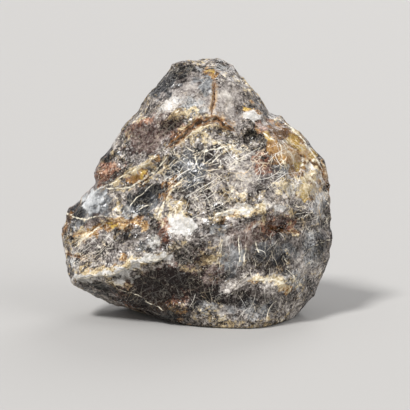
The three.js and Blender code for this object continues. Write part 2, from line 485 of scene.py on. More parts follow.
            (-14.5, -16, 3.0, 2.8, 0, 0.6),
            # below the brow
            # painted shade of the underside below the brow, which faces down
            (-35, -36, 5.0, 2.4, -30, 1.2),
            (-20, -41, 12.0, 3.0, -25, 1.2),
            (-15, -44, 9.0, 3.0, -25, 1.3),
            (-14, -35, 14.0, 6.0, 8, 1.7),
            (-2, -26, 6.0, 4.0, 0, 0.6),
            (0, -37, 8.0, 5.0, -10, 0.7),
            # lower right
            (14, -40, 6.0, 3.0, 0, 0.4),
            (26, -15, 6.0, 3.0, 0, 0.5),
            (26, -25, 7.0, 5.0, 0, 0.35),
            (48.8, -12, 2.6, 10.0, 0, 0.35),
        ],
        # partly the resin's own paler tone, partly painted light
        "paleAndLit": [
            # crown
            (-5, 35, 11.0, 6.0, 15, 0.9),
            (3.5, 39, 3.0, 4.0, 0, 0.8),
            (8, 34, 7.0, 5.0, 0, 1.5),
            (10, 29, 3.0, 4.0, 0, 0.7),
            (14, 38, 5.0, 5.0, -20, 0.7),
            # band below the crown
            (-18, 27, 4.0, 2.0, 30, 0.6),
            # plateau
            (-7, -11, 7.0, 6.0, 30, 1.0),
            (14, 24, 3.0, 3.0, 0, 0.6),
            (16, 4.5, 6.0, 4.0, 0, 1.6),
            (19, 6, 8.0, 3.4, 0, 0.5),
            (-6, 14, 5.0, 4.0, 30, 0.6),
            (34, 1, 7.0, 6.0, 0, 0.7),
            (32, -3, 10.0, 5.0, 0, 0.7),
            (4, -4, 5.0, 4.0, 0, 0.5),
            # right shoulder
            (21.5, 29, 3.4, 2.0, -10, 1.5),
            (26, 27, 5.0, 2.0, -30, 0.8),
            (36, 17, 7.0, 5.0, -38, 0.8),
            (38, 13.5, 3.0, 3.4, 0, 1.3),
            (38, 23.5, 6.0, 1.4, -45, 1.2),
            # right rim
            (40, -6, 8.0, 3.0, 0, 1.0),
            (42, 0, 4.0, 5.0, -30, 1.0),
            (45, 8, 4.0, 6.0, 0, 0.7),
            (46.5, -5, 3.0, 7.0, 0, 1.1),
            # left slope, shelf and glassy facet
            # painted sheen of light on the left slope
            (-39.5, -2.5, 5.0, 3.8, 30, 2.2),
            (-27.5, -7.5, 4.0, 2.4, 20, 1.0),
            (-24, 5.5, 9.0, 2.4, 32, 0.9),
            (-15, 6, 3.0, 3.0, 30, 0.6),
            # left lobe and foot
            (-46, -26, 4.0, 7.0, 0, 0.8),
            (-44, -12, 4.0, 3.0, 30, 1.0),
            (-38, -20, 8.0, 4.0, 20, 0.6),
            (-30, -26, 10.0, 4.0, 10, 0.7),
            # brow
            (-26, -34, 6.0, 1.8, 0, 2.2),
            # lower right
            (-6, -17, 5.0, 3.0, 0, 0.9),
            (13, -25, 4.0, 3.0, 60, 0.8),
            (13, -15.5, 8.0, 3.4, 20, 1.3),
            (15, -46, 7.0, 3.0, 0, 1.0),
            (15, -36, 7.0, 3.4, 0, 1.2),
            (26, -35, 10.0, 4.0, 0, 0.7),
            (40, -30, 6.0, 9.0, -15, 0.9),
            (41, -16, 5.0, 4.0, 0, 0.5),
            (34, -45, 7.0, 3.0, 10, 0.9),
        ],
    },
    # Cracks, seams and ridges on the face. wide and deep make a groove, step lifts what lies to the left
    # of the path as it runs, ridge raises a crest, and reach is how far a step or crest dies away.
    "lines": {
        "crownCrack": {"path": [(7, 45), (6.5, 40), (7, 36.5), (6, 32), (5.5, 28)],
                       "wide": 0.8, "deep": 1.1, "stain": "rust", "line": 0.45, "taper": 4, "loose": 0.35},
        "ledgeCrack": {"path": [(-12.5, 16), (-8, 19), (-4.5, 22), (-1.5, 25), (1.5, 26.5), (5, 27.5),
                                (8, 28), (10.5, 26), (13, 24.5), (15.5, 22.5)],
                       "wide": 1.4, "deep": 1.8, "step": 0.9, "reach": 5,
                       "stain": "rust", "line": 1.1, "taper": 6},
        "ledgeLip": {"path": [(-11, 15.5), (-7, 18), (-3.5, 21), (0, 24.2), (4, 25.6), (8, 26.2),
                              (11, 24.4)],
                     "ridge": 0.7, "reach": 3, "stain": "cream", "line": 0.12, "taper": 8},
        "shelfRidge": {"path": [(-41.5, 0), (-35, 2), (-30, 4.5), (-26, 7.5), (-20, 10.5), (-16.5, 13),
                                (-12.5, 16)],
                       "ridge": 1.2, "reach": 3.5, "stain": "cream", "line": 0.2, "taper": 8},
        "shelfSeam": {"path": [(-34.5, 1.5), (-25.5, 2), (-20.5, 5), (-13.5, 9.5), (-11, 14)],
                      "wide": 0.8, "deep": 0.6, "step": -1.2, "reach": 5, "stain": "cream", "line": 0.4},
        "faceEdge": {"path": [(-4, 6), (-6.5, 4), (-9.5, 1), (-12.5, -3.5), (-14, -7.5), (-15.5, -11)],
                     "ridge": 0.8, "step": 1.2, "reach": 5, "stain": "cream", "line": 0.3},
        "brow": {"path": [(-48, -32), (-43.5, -33), (-38, -31), (-33, -31), (-28.5, -30), (-24.5, -27),
                          (-18.5, -26), (-12.5, -25), (-9.5, -22.5)],
                 "ridge": 1.0, "step": 1.4, "reach": 5, "stain": "cream", "line": 0.3, "taper": 6},
        "browRight": {"path": [(-14, -25), (-9.5, -22.5), (-1.5, -19), (3.5, -17.5), (12.5, -13),
                               (22, -8.5), (28, -7)],
                      "ridge": 0.7, "step": 1.4, "reach": 6, "taper": 6},
        "browTop": {"path": [(6, -9), (10.5, -7), (16, -6.5), (21.5, -6), (24.5, -3.5)],
                    "step": -0.9, "ridge": 0.5, "reach": 4, "stain": "cream", "line": 0.3},
        "rimValley": {"path": [(42, 17), (39, 12), (36, 6), (37, 0), (40, -7)],
                      "wide": 3.0, "deep": 1.3, "taper": 5},
        "amberBand": {"path": [(-48, -17), (-42.5, -15), (-38, -13), (-31.5, -11.5), (-25, -11),
                               (-19, -10.5)],
                      "wide": 1.4, "deep": 0.5, "stain": "rust", "line": 0.22},
        "lobeSeam": {"path": [(-46.5, -21), (-41.5, -16), (-33.5, -10.5)],
                     "stain": "cream", "line": 0.35},
        "lobeCrack": {"path": [(-51, -23), (-48, -23.5), (-45, -24), (-41, -25)],
                      "wide": 0.6, "deep": 0.6, "stain": "rust", "line": 0.35},
        # a groove under the iron hollow, with a thin dark rust seam painted as the shadow line beneath it
        "hollowShadowSeam": {"path": [(25, -12), (29, -13.5), (34, -14.5), (38, -15), (41, -14.6)],
                       "wide": 1.4, "deep": 1.2, "step": -0.8, "reach": 4, "stain": "rust", "line": 0.15},
        "keelEdge": {"path": [(-35, -33), (-31.5, -34), (-29.5, -36.5), (-23, -38.5), (-18.5, -40.5),
                              (-15.5, -43), (-11, -45)],
                     "ridge": 0.5, "reach": 2, "stain": "cream", "line": 0.15},
        "arcLow": {"path": [(-0.5, 15), (3, 16), (6.5, 16.6), (11, 17.5), (16, 18)],
                   "stain": "cream", "line": 0.25},
        "arcRise": {"path": [(4, 10), (8, 13.5), (11.5, 16), (15, 18)], "stain": "cream", "line": 0.22},
        "arcBend": {"path": [(0, 16), (-0.5, 13), (0.5, 10), (3, 6)], "stain": "cream", "line": 0.22},
        "gold": {"path": [(24, 23.5), (28.5, 20), (31, 19.5)], "stain": "cream", "line": 0.4},
        "rayHigh": {"path": [(31, 20), (35.5, 19), (41, 16.5)], "stain": "cream", "line": 0.3},
        "rayMiddle": {"path": [(31, 20), (34.5, 16), (38, 10)], "stain": "cream", "line": 0.3},
        "rayLow": {"path": [(31, 20), (32, 15.5), (33, 9)], "stain": "cream", "line": 0.3},
        "shoulderRim": {"path": [(39, 19), (40.5, 15.5), (40, 11), (38, 7.5)],
                        "stain": "cream", "line": 0.45},
        "rimSeam": {"path": [(32.5, 27), (37, 23.5), (41.5, 18.5), (43.5, 15), (46, 12), (47.5, 8)],
                    "ridge": 0.6, "reach": 2, "stain": "cream", "line": 0.35},
        "facetFlaw": {"path": [(-22.5, -7), (-19.5, -5), (-15.5, -3.5)], "stain": "cream", "line": 0.2},
        "facetRay": {"path": [(-27, -8), (-22, -1), (-15, 4.5)],
                     "stain": "cream", "line": 0.2, "taper": 4},
        "dripLong": {"path": [(16.5, -15), (15.5, -20), (16.5, -24), (15.5, -28)],
                     "stain": "cream", "line": 0.2},
        "dripBend": {"path": [(19, -18), (18, -24), (18.5, -28)], "stain": "cream", "line": 0.22},
        "dripShort": {"path": [(22.5, -17), (23, -20.5), (24, -24)], "stain": "cream", "line": 0.22},
        "dripLeft": {"path": [(10, -18), (9.5, -21), (8, -25), (8.5, -28)],
                     "stain": "cream", "line": 0.25},
        "dripFar": {"path": [(33.5, -24), (34.5, -27), (34, -30)], "stain": "cream", "line": 0.25},
        "lowChip": {"path": [(36, -30), (37, -32.5), (38, -35)], "stain": "cream", "line": 0.35},
        "lowSeam": {"path": [(21.5, -33), (25, -32.5), (30.5, -33), (34, -34)],
                    "stain": "cream", "line": 0.4},
        # The other sides are broken up in the same way; turn is the side they are seen from, in degrees
        "backCrack": {"turn": 180, "path": [(-22, 30), (-14, 22), (-10, 12), (0, 4), (6, -8), (16, -16)],
                      "wide": 1.2, "deep": 1.4, "step": 0.8, "reach": 5,
                      "stain": "rust", "line": 0.7, "taper": 9},
        "backLedge": {"turn": 180, "path": [(-40, -8), (-26, -4), (-12, -6), (2, -14), (18, -16),
                                            (34, -24)],
                      "step": 1.5, "ridge": 0.7, "reach": 6, "stain": "cream", "line": 0.25, "taper": 8},
        "backRidge": {"turn": 180, "path": [(2, 40), (10, 30), (16, 20), (28, 13), (38, 6)],
                      "ridge": 1.2, "reach": 4, "stain": "cream", "line": 0.3, "taper": 8},
        "backVein": {"turn": 180, "path": [(-32, 14), (-18, 6), (-4, 9), (8, 2), (20, 4)],
                     "stain": "cream", "line": 0.35, "taper": 5},
        "backFoot": {"turn": 180, "path": [(-34, -28), (-18, -34), (0, -31), (16, -38), (30, -36)],
                     "ridge": 0.9, "step": 0.9, "reach": 5, "stain": "cream", "line": 0.2, "taper": 6},
        "rightCrack": {"turn": 90, "path": [(-8, 24), (-2, 12), (3, 0), (1, -14), (6, -28)],
                       "wide": 1.1, "deep": 1.2, "stain": "rust", "line": 0.55, "taper": 8},
        "rightLedge": {"turn": 90, "path": [(-20, -22), (-8, -16), (6, -20), (20, -12)],
                       "step": 1.2, "ridge": 0.6, "reach": 5, "stain": "cream", "line": 0.25, "taper": 6},
        "leftCrack": {"turn": 270, "path": [(-10, 14), (-2, 4), (4, -8), (2, -22)],
                      "wide": 1.0, "deep": 1.1, "stain": "rust", "line": 0.5, "taper": 6},
        "leftSeam": {"turn": 270, "path": [(-18, -10), (-6, -4), (6, -10), (18, -6)],
                     "ridge": 0.8, "reach": 4, "stain": "cream", "line": 0.3, "taper": 5},
    },
    # Bumps and hollows on the face: across, up, half width, half height, turn, height in mm
    "dents": {
        "amberHollow": (-20.5, 7, 4.5, 2.0, 38, -1.3),
        "glassyFacet": (-20, -4, 8, 4.8, 35, -0.9),
        "shoulderHole": (21.5, 20.5, 3.4, 2.8, 0, -1.8),
        "shoulderChip": (21.5, 29, 3.4, 1.9, -10, 0.7),
        "ironHollow": (34.5, -12, 7.5, 2.0, 5, -1.7),
        "roundBump": (43.5, -10, 3.2, 3.2, 0, 1.1),
        "leftKnob": (-34, 7, 5, 3.2, 25, 0.9),
        "jewel": (8, -10.5, 1.9, 1.3, 0, 0.8),
        "jewelPit": (10.8, -11.6, 1.6, 1.3, 0, -1.0),
        "middlePatch": (-5.5, -12.2, 4.8, 3.5, -10, 0.5),
        "darkBand": (-17, 22, 10, 5.5, 25, -1.0),
        "eyePit": (-21.5, -21.5, 1.4, 1.2, 0, -0.7),
        "crownSide": (14, 31, 3.0, 4.5, 20, -0.9),
    },
}


def makeBlank():
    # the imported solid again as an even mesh, fine enough for the relief: 0.6 mm gives 188,000 triangles
    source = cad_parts["copal_chunk"]
    blank = bpy.data.objects.new("blank", source.data.copy())
    bpy.context.scene.collection.objects.link(blank)
    remesh = blank.modifiers.new("remesh", "REMESH")
    remesh.mode = "VOXEL"
    remesh.voxel_size = copal["voxel"] * mm
    depsgraph = bpy.context.evaluated_depsgraph_get()
    mesh = bpy.data.meshes.new_from_object(blank.evaluated_get(depsgraph))
    bpy.data.objects.remove(blank)
    mesh.materials.clear()
    mesh.name = "copal"
    print("copal: even mesh of", len(mesh.vertices), "points")
    return mesh


class Skin:
    # the mesh as arrays: points and normals in mm, and the means to smooth a value over its edges
    def __init__(self, mesh):
        self.mesh = mesh
        count = len(mesh.vertices)
        flat = np.zeros(count * 3)
        mesh.vertices.foreach_get("co", flat)
        self.points = flat.reshape(-1, 3) / mm
        pairs = np.zeros(len(mesh.edges) * 2, dtype=np.int64)
        mesh.edges.foreach_get("vertices", pairs)
        self.edges = pairs.reshape(-1, 2)
        self.valence = np.bincount(pairs, minlength=count)
        self.refresh()

    def refresh(self):
        self.mesh.vertices.foreach_set("co", (self.points * mm).ravel())
        self.mesh.update()
        flat = np.zeros(len(self.points) * 3)
        self.mesh.vertices.foreach_get("normal", flat)
        self.normals = flat.reshape(-1, 3)

    def smooth(self, values, times):
        a, b = self.edges.T
        values = np.array(values, dtype=float)
        for _ in range(times):
            columns = values.reshape(len(values), -1)
            total = np.stack([
                np.bincount(a, column[b], len(columns)) + np.bincount(b, column[a], len(columns))
                for column in columns.T
            ], axis=1)
            values = (0.5 * columns + 0.5 * total / self.valence[:, None]).reshape(values.shape)
        return values

    def fractal(self, size, octaves, seed, roughness=0.55):
        # smooth lumps about size mm across, from -1 to 1 or so
        shift = 37.3 * seed
        scaled = (self.points / size + shift).tolist()
        gain = math.log2(1 / roughness)
        values = [noise.fractal(p, gain, 2.0, octaves, noise_basis="PERLIN_NEW") for p in scaled]
        return np.array(values)

    def seenFrom(self, turn=0):
        # across and up in mm as seen from the lens, and how squarely each point faces it, or the same from
        # far off after a turn to another side in degrees
        if turn:
            angle = math.radians(turn)
            right = np.array((math.cos(angle), math.sin(angle), 0))
            toSide = np.array((math.sin(angle), -math.cos(angle), 0))
            return self.points @ right, self.points[:, 2] - middle.z / mm, self.normals @ toSide
        offset = self.points - np.array(eye) / mm
        depth = offset @ np.array(lookDir)
        shift = np.array(middle - eye) / mm
        across = (offset @ np.array(lookRight)) * view["distance"] / depth - shift @ np.array(lookRight)
        up = (offset @ np.array(lookUp)) * view["distance"] / depth - shift @ np.array(lookUp)
        toEye = -offset / np.linalg.norm(offset, axis=1)[:, None]
        facing = np.sum(self.normals * toEye, axis=1)
        return across, up, facing


def patchField(skin, patches, wobble):
    across, up, facing = skin.seenFrom()
    total = np.zeros(len(across))
    for x, y, halfWidth, halfHeight, turn, strength in patches:
        c, s = math.cos(math.radians(turn)), math.sin(math.radians(turn))
        dx = across + wobble[0] - x
        dy = up + wobble[1] - y
        reach = np.hypot((dx * c + dy * s) / halfWidth, (dy * c - dx * s) / halfHeight)
        total = np.maximum(total, strength * smoothStep(1.3, 0.7, reach))
    return total * smoothStep(-0.02, 0.25, facing)


def rounded(path, times=2):
    # cuts the corners of a path, so that it bends softly
    for _ in range(times):
        between = [p for a, b in zip(path, path[1:])
                   for p in ((0.75 * a[0] + 0.25 * b[0], 0.75 * a[1] + 0.25 * b[1]),
                             (0.25 * a[0] + 0.75 * b[0], 0.25 * a[1] + 0.75 * b[1]))]
        path = [path[0], *between, path[-1]]
    return path


def lineField(skin, line, wobble):
    # signed distance in mm to a path on the face, plus on its left, and how near its ends each point is
    across, up, facing = skin.seenFrom(line.get("turn", 0))
    loose = line.get("loose", 1)
    x = across + loose * wobble[0]
    y = up + loose * wobble[1]
    path = rounded(line["path"])
    taper = line.get("taper", 2.5)
    side = np.full(len(x), 99.0)
    along = np.zeros(len(x))
    run = 0
    for (ax, ay), (bx, by) in zip(path, path[1:]):
        length = math.hypot(bx - ax, by - ay)
        tx, ty = (bx - ax) / length, (by - ay) / length
        t = np.clip((x - ax) * tx + (y - ay) * ty, 0, length)
        dx, dy = x - ax - t * tx, y - ay - t * ty
        distance = np.hypot(dx, dy)
        nearer = distance < np.abs(side)
        sign = np.where(tx * dy - ty * dx >= 0, 1, -1)
        side = np.where(nearer, distance * sign, side)
        along = np.where(nearer, run + t, along)
        run += length
    ends = smoothStep(0, taper, along) * smoothStep(run, run - taper, along)
    return side, ends * smoothStep(0, 0.2, facing)


def flake(skin, size, seed):
    # flaked facets: each cell of the stone is a shallow scoop with a lean and a shade of its own
    shift = 11.7 * seed
    shape, shade, border = [], [], []
    for p in (skin.points / size + shift).tolist():
        warped = Vector(p) + copal["chipWarp"] * noise.noise_vector(p)
        distances, centres = noise.voronoi(warped)
        offset = warped - centres[0]
        own = noise.cell_vector(centres[0] * 91.7)
        lean = own - Vector((0.5, 0.5, 0.5))
        inward = min(1, (distances[1] - distances[0]) / copal["chipBevel"])
        bevel = copal["chipBevel"] + (1 - copal["chipBevel"]) * inward
        tilted = offset.dot(lean) * copal["chipLean"] * bevel
        shape.append(tilted + offset.length_squared * copal["chipHollow"])
        shade.append(own.x * 2 - 1)
        border.append((distances[1] - distances[0]) * size)
    return np.array(shape), np.array(shade), np.array(border)


def toBreaks(skin, size, seed):
    # how far across and up the middle of the small break that a point lies in is from the point
    shift = 11.7 * seed
    away = []
    for p in (skin.points / size + shift).tolist():
        warped = Vector(p) + copal["breakWarp"] * noise.noise_vector(p)
        away.append(noise.voronoi(warped)[1][0] - warped)
    away = np.array([tuple(v) for v in away]) * size
    return away @ np.array(lookRight), away @ np.array(lookUp)


def makeWaver(skin, settings, seeds):
    size, reach = settings
    return [reach * skin.fractal(size, 4, seed) for seed in seeds]


def carveRelief(skin):
    print("copal: relief")
    rise = np.zeros(len(skin.points))
    skin.shade = np.zeros(len(skin.points))
    skin.border = np.full(len(skin.points), 9.0)
    for number, (size, height, contrast) in enumerate(copal["chips"]):
        shape, shade, border = flake(skin, size, number + 1)
        rise += height * skin.smooth(shape, 1)
        if contrast:
            skin.shade += contrast * skin.smooth(shade, 1)
            skin.border = np.minimum(skin.border, border)
    for number, (size, height) in enumerate(copal["relief"]):
        rise += height * skin.fractal(size, 3, number + 5)
    wobble = makeWaver(skin, copal["wobble"], (31, 32))
    for x, y, halfWidth, halfHeight, turn, height in copal["dents"].values():
        rise += height * patchField(skin, [(x, y, halfWidth, halfHeight, turn, 1.0)], wobble)
    for line in copal["lines"].values():
        side, strength = lineField(skin, line, wobble)
        near = np.abs(side)
        if "deep" in line:
            rise -= line["deep"] * strength * np.clip(1 - near / line["wide"], 0, 1)
        if "ridge" in line:
            rise += line["ridge"] * strength * np.clip(1 - near / line["reach"], 0, 1) ** 1.5
        if "step" in line:
            lift = smoothStep(-0.5, 0.5, side) * smoothStep(line["reach"], 0, near)
            rise += line["step"] * strength * lift
    top = skin.points[:, 2] - low.z / mm
    rise = (rise - copal["inset"]) * smoothStep(0.3, copal["foot"], top)
    skin.points += skin.normals * rise[:, None]
    lowest = np.array(low) / mm + copal["margin"]
    highest = np.array(high) / mm - copal["margin"]
    skin.points = np.clip(skin.points, lowest, highest)
    skin.refresh()


mesh = makeBlank()
skin = Skin(mesh)
carveRelief(skin)


def writeLayer(skin, name, values):
    layer = skin.mesh.attributes.new(name, "FLOAT", "POINT")
    layer.data.foreach_set("value", values.astype(np.float32))


# What the patches and lines don't reach, the sides, the back and the underside, gets the same finishes
# strewn at random: size in mm, how much of the surface, and strength.
strewn = {
    "chalk": (7, 0.04, 0.8),
    "slateAndSheen": (16, 0.35, 0.8),
    "plum": (14, 0.3, 0.8),
    "cream": (9, 0.2, 0.6),
    "rust": (12, 0.1, 0.7),
    "amber": (17, 0.1, 0.45),
    "gold": (12, 0.02, 0.5),
    "window": (16, 0.12, 0.8),
    "smooth": (15, 0.5, 1.0),
    "scuffed": (20, 0.4, 0.45),
    "dripped": (20, 0.3, 0.45),
    "darkAndShade": (15, 0.3, 0.8),
    "paleAndLit": (15, 0.3, 0.7),
}


def paintLayers(skin):
    print("copal: layers")
    breaks = toBreaks(skin, copal["breaks"], 9)
    ragged = makeWaver(skin, copal["ragged"], (21, 22))
    facing = skin.seenFrom()[2]
    away = smoothStep(0.45, 0.05, facing)
    for number, (name, patches) in enumerate(copal["patches"].items()):
        size, share, strength = strewn[name]
        field = skin.fractal(size, 3, 50 + number)
        level = np.quantile(field, 1 - share)
        elsewhere = strength * smoothStep(level - 0.08, level + 0.12, field) * away
        follow = copal["powdery"].get(name, copal["followBreaks"])
        edges = [follow * toMiddle + waver for toMiddle, waver in zip(breaks, ragged)]
        values = np.maximum(patchField(skin, patches, edges), elsewhere)
        writeLayer(skin, name, values)
        if name == "window":
            skin.window = values
    edgesAway, weight = copal["rubbed"]
    swell = np.sum((skin.points - skin.smooth(skin.points, edgesAway)) * skin.normals, axis=1)
    writeLayer(skin, "ridge", np.clip(0.5 + swell * weight, 0, 1))
    writeLayer(skin, "facet", skin.shade)
    writeLayer(skin, "border", skin.border)
    wobble = makeWaver(skin, copal["wobble"], (31, 32))
    for stain in ("cream", "rust"):
        side = np.full(len(skin.points), 9.0)
        glow = np.zeros(len(skin.points))
        for line in copal["lines"].values():
            if line.get("stain") != stain:
                continue
            distance, strength = lineField(skin, line, wobble)
            margin = 3.5 * line["line"] + 1.0   # mm that the stain spreads beside the line
            glow = np.maximum(glow, strength * smoothStep(margin, 0, np.abs(distance)))
            scaled = distance / line["line"] / np.maximum(strength, 0.05)
            side = np.where(np.abs(scaled) < np.abs(side), scaled, side)
        writeLayer(skin, stain + "Side", side)
        writeLayer(skin, stain + "Near", np.abs(side))
        writeLayer(skin, stain + "Glow", glow)


paintLayers(skin)

# Copal is tree resin a few thousand years old: glassy brown-black inside, dug from sand, so its skin is
# scuffed, scratched to pale hairlines and dusted with cream chalk, with iron stain in the cracks.
resin = {
    "ior": 1.54,
    "clean": 0.12,        # roughness of a window into the resin
    "glassy": 0.24,       # roughness of a clean broken face
    "scuffed": 0.46,      # of the worn skin
    "chalky": 0.9,        # of powder
    "specular": 0.1,      # kept low, as a skin this rough shadows half of its own reflections
    "polish": 0.22,       # a thin polish from handling over all of it
    "polishRoughness": 0.14,
    "clear": 0.5,         # how see-through a window is, as its inside is cloudy too
    "honey": "#ffd481",   # the tint that the body of the resin gives what shines through it
    "density": 45,        # how strong it is, per metre
    "body": [(0.0, "#060404"), (0.2, "#211916"), (0.4, "#57504c"), (0.58, "#8a827d"), (0.8, "#b7b0a8"),
             (1.0, "#dcd6ce")],
    # How many lumps of each noise lie in a mm
    "clouds": 0.13,
    "fine": 1.3,
    "warp": 0.22,         # bends the borders of the scoops
    "drifts": 0.1,        # where dust lies
    "fading": 0.6,        # breaks up the seams
    "stray": 0.07,        # bends the hairlines
    "wear": 0.12,         # where they lie thick
    # What makes the body darker or paler, and by how much
    "tone": {
        "middle": 0.38,
        "clouds": 1.4,
        "cloudsOnClean": 0.7,
        "fine": 0.8,
        "fineMiddle": -0.9,
        "pits": -0.4,
        "grainOnClean": 0.3,
        "facet": 0.12,
        "paleAndLit": 0.2,
        "darkAndShade": -0.5,
    },
    # Where cream dust gathers, and where it doesn't stay
    "dust": {
        "least": -1.52,
        "drifts": 2.6,
        "borders": 0.14,
        "darkAndShade": -0.25,
        "smooth": -0.45,
        "ridge": 0.5,
        "creamGlow": 0.4,
        "cream": 0.7,
    },
    # mm of fine relief: of the clouds, of the fine noise, of the pits and of the rust
    "bumps": {"clouds": 0.3, "fine": 0.1, "pits": -0.1, "rust": -0.1},
    # Each finish laid over the body: its shades from darkest to palest, the size in mm of its ragged
    # edge, where its mask starts and is full, and how much it breaks up into grains
    "finishes": {
        "slateAndSheen": {   # slate grey where fresh resin shows through, and partly a painted reflection: the blue-grey sheen of glassy resin
            "shades": [(0.0, "#0a0a0b"), (0.3, "#3b3c3f"), (0.6, "#868889"), (1.0, "#dcdddd")],
            "edge": 3.0,
            "mask": (0.2, 1.1),
            "grainy": 0.2,
        },
        "plum": {   # brown-violet where the skin has reddened
            "shades": [(0.0, "#160b08"), (0.3, "#3d2b26"), (0.6, "#786761"), (1.0, "#c6b7ae")],
            "edge": 3.0,
            "mask": (0.2, 1.0),
            "grainy": 0.3,
        },
        "rust": {   # iron stain from the sand
            "shades": [(0.0, "#190c07"), (0.3, "#5c3626"), (0.6, "#9c6f56"), (1.0, "#dcbb9e")],
            "edge": 2.4,
            "mask": (0.3, 1.2),
            "grainy": 0.5,
        },
        "amber": {   # where the skin is thin and the honey colour comes through
            "shades": [(0.0, "#221306"), (0.3, "#66431e"), (0.6, "#a98350"), (1.0, "#e6d3ac")],
            "edge": 3.6,
            "mask": (0.15, 0.8),
            "grainy": 0.2,
        },
        "gold": {   # dry yellow resin dust
            "shades": [(0.0, "#4e3610"), (0.3, "#8f7028"), (0.6, "#c6a552"), (1.0, "#efdca6")],
            "edge": 2.0,
            "mask": (0.3, 0.8),
            "grainy": 0.3,
        },
        "cream": {   # dust packed on edges and in drifts
            "shades": [(0.0, "#6b5941"), (0.35, "#a8946f"), (0.7, "#d9c9a6"), (1.0, "#f3ecdb")],
            "edge": 1.8,
            "mask": (0.3, 0.8),
            "grainy": 0.9,
        },
        "chalk": {   # the thickest powder, nearly white
            "shades": [(0.0, "#8d8a84"), (0.35, "#b3b0aa"), (0.7, "#cfccc8"), (1.0, "#e0deda")],
            "edge": 1.6,
            "mask": (0.3, 1.0),
            "grainy": 0.8,
        },
    },
    "raggedness": 1.3,    # how far noise moves their edges
    "besideCracks": {"rust": 0.55, "amber": 0.55},   # how much of the stain beside cracks each takes up
    "dustInRust": 0.25,   # rust holds on to dust as well
    # Shell-like breaks: mm across, how hollow, weight of their shade, width of the painted glint on
    # their crests, and how many of the crests show it
    "scoops": [
        {"size": 5.2, "hollow": 0.9, "shade": 0.28, "crest": 0.12, "shown": 0.28},
        {"size": 2.3, "hollow": 0.35, "shade": 0.2, "crest": 0.10, "shown": 0.22},
    ],
    "grains": [(0.7, 0.42, 0.6), (1.5, 0.16, 0.4)],   # mm across, weight in the tone, and in the pick
    "specks": {"pits": (0.95, 0.24), "glints": (0.8, 0.24)},   # mm between them, and their radius
    "glintsInDark": 0.25,   # how much the painted glints show where the dark layer lies
    # Seams from their core to their margin, and their least strength where they are broken
    "seams": {
        "rust": {
            "shades": [(0.0, "#150b06"), (0.26, "#2a170c"), (0.42, "#70461f"), (0.8, "#b88a50")],
            "least": 0.6,
        },
        "cream": {
            "shades": [(0.0, "#f2ecdb"), (1.0, "#dccfb0")],
            "least": 0.0,
        },
    },
    "hairline": [(0.4, "#f3f0e9"), (0.55, "#ece2cc"), (0.68, "#d6b88c")],   # fresh, then old and stained
    # Hairlines by the layer that shows them: mm between them, their width, how many of the cells hold
    # one, and which way they run in degrees from level, where they are combed
    "scratches": {
        "scuffed": [
            (14.0, 0.18, 0.9, 35),
            (11.0, 0.17, 0.9, None),
            (9.0, 0.16, 0.9, 35),
            (5.8, 0.15, 0.9, 40),
            (4.6, 0.14, 0.9, None),
            (3.2, 0.12, 0.8, None),
        ],
        "dripped": [
            (7.0, 0.15, 0.7, 80),
            (4.6, 0.12, 0.6, None),
            (3.2, 0.1, 0.55, 100),
        ],
    },
    "bend": 4,            # mm that the hairlines stray from straight
    "curl": 0.35,         # and how much each is an arc, as a share of its spacing
}


